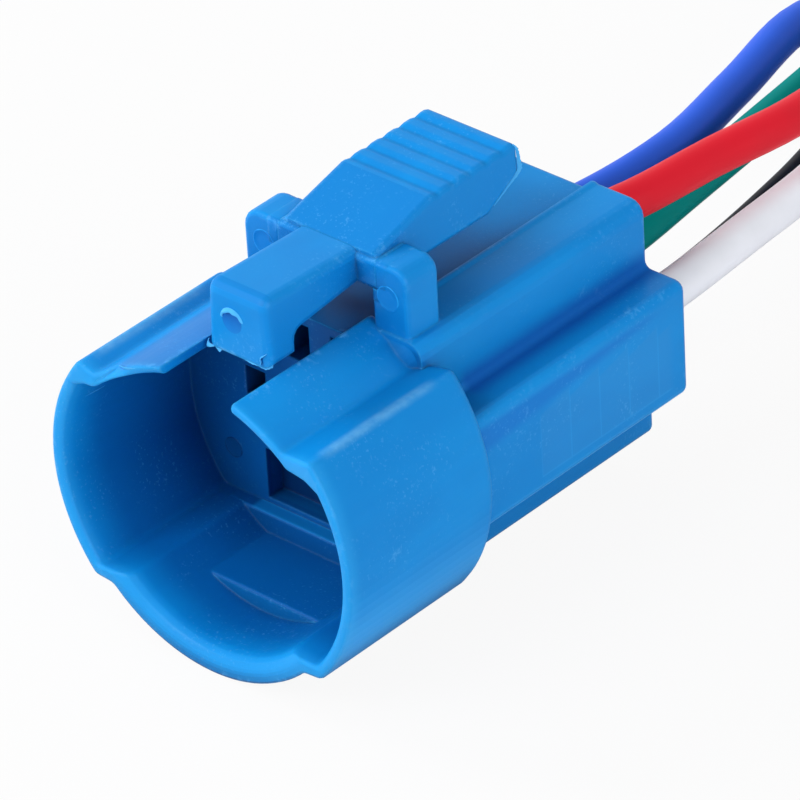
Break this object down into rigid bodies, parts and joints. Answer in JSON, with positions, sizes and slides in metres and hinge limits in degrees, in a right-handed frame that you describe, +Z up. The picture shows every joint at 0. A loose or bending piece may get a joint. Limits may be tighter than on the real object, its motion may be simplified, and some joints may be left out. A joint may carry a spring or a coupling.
{
  "type": "push-button wiring socket",
  "caption": "Blue moulded socket with a sprung latch lever that plugs onto the back of a round push-button switch, with crimped contacts and coloured pigtail wires.",
  "frame": {"origin": "middle of the housing's footprint, on the lowest line of its collar", "axes": "-Y out of the socket's mouth, +Y the way the wires leave, +Z up with the latch on top"},
  "size_m": [0.0266, 0.1153, 0.0238],
  "materials": {
    "housing_plastic": "satin moulded, slightly translucent",
    "tinned_brass": "tin plated",
    "copper_strands": "bare copper strands",
    "tinned_strands": "tinned copper strands",
    "tie_plastic": "matte",
    "jacket_red": "smooth flexible PVC",
    "jacket_green": "smooth flexible PVC",
    "jacket_black": "smooth flexible PVC",
    "jacket_blue": "smooth flexible PVC",
    "jacket_white": "smooth flexible PVC"
  },
  "bodies": {
    "socket": {"housing": "housing_plastic", "contact_red": "tinned_brass", "red_core": "copper_strands", "red_wire": "jacket_red", "red_wire_hank": "jacket_red", "red_wire_tip": "tinned_strands", "contact_green": "tinned_brass", "green_core": "copper_strands", "green_wire": "jacket_green", "green_wire_hank": "jacket_green", "green_wire_tip": "tinned_strands", "contact_black": "tinned_brass", "black_core": "copper_strands", "black_wire": "jacket_black", "black_wire_hank": "jacket_black", "black_wire_tip": "tinned_strands", "contact_blue": "tinned_brass", "blue_core": "copper_strands", "blue_wire": "jacket_blue", "blue_wire_hank": "jacket_blue", "blue_wire_tip": "tinned_strands", "contact_white": "tinned_brass", "white_core": "copper_strands", "white_wire": "jacket_white", "white_wire_hank": "jacket_white", "white_wire_tip": "tinned_strands", "wire_tie": "tie_plastic"},
    "latch": {"latch_lever": "housing_plastic"}
  },
  "joints": [
    {"name": "latch_hinge", "type": "hinge", "parent": "socket", "child": "latch", "pos_m": [0, -0.00243, 0.0214], "axis": [-1, 0, 0], "range_deg": [0, 10], "stiffness_Nm_per_rad": 0.15}
  ]
}
